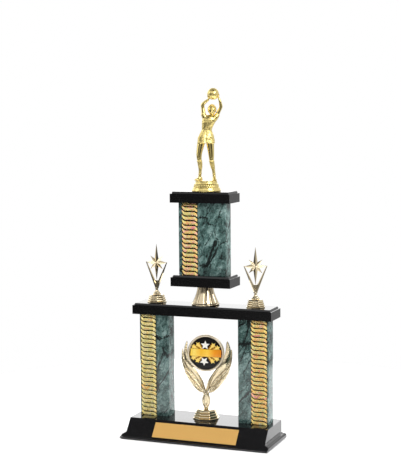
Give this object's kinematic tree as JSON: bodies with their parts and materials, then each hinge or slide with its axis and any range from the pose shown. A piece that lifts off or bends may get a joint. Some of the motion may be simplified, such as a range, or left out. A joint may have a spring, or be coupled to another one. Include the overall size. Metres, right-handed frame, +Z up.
{
  "type": "ball sport trophy",
  "caption": "Two-tier award trophy: green marble-finish posts with gold ribbed inlays, black stepped plates, star finials, a winged insert holder and a gold ball player on top.",
  "frame": {"origin": "centre of the whole object's footprint, on the surface it stands on", "axes": "+Z up, -Y is the front with the engraving plate, +X to the right seen from the front"},
  "size_m": [0.243, 0.0966, 0.5443],
  "materials": {
    "black_gloss": "fibreboard under black high-gloss lacquer",
    "felt": "black adhesive felt",
    "satin_gold": "satin gold anodised sheet, blank",
    "green_marble": "gloss green marble-pattern film on a moulded tube",
    "holographic_gold": "gold holographic metallised ribbed strip",
    "champagne_gold": "pale champagne gold metallised moulding, polished",
    "bright_gold": "bright yellow gold metallised moulding, polished",
    "zinc_steel": "zinc plated",
    "insert_print": "printed black disc with white and gold stars and a blank gold band",
    "clear_resin": "clear domed resin"
  },
  "bodies": {
    "root": {"base": "black_gloss", "base_felt": "felt", "engraving_plate": "satin_gold", "left_column": "green_marble", "right_column": "green_marble", "upper_column": "green_marble", "left_column_inlay": "holographic_gold", "right_column_inlay": "holographic_gold", "upper_column_inlay": "holographic_gold", "deck": "black_gloss", "upper_bottom_plate": "black_gloss", "upper_top_plate": "black_gloss", "riser": "champagne_gold", "left_rod": "zinc_steel", "right_rod": "zinc_steel", "centre_rod": "zinc_steel", "holder_stud": "zinc_steel", "base_washer_left": "zinc_steel", "base_washer_holder": "zinc_steel", "base_washer_right": "zinc_steel", "base_nut_left": "zinc_steel", "base_nut_holder": "zinc_steel", "base_nut_right": "zinc_steel", "finial_nut_left": "zinc_steel", "finial_nut_right": "zinc_steel", "holder_nut": "zinc_steel", "deck_washer": "zinc_steel", "deck_nut": "zinc_steel", "figure_nut": "zinc_steel", "left_finial_foot": "champagne_gold", "right_finial_foot": "champagne_gold", "left_finial_star": "champagne_gold", "right_finial_star": "champagne_gold", "holder_foot": "champagne_gold", "insert_holder": "champagne_gold", "insert_disc": "insert_print", "insert_dome": "clear_resin", "figure_base": "bright_gold", "player_figure": "bright_gold", "ball": "bright_gold"}
  },
  "joints": []
}
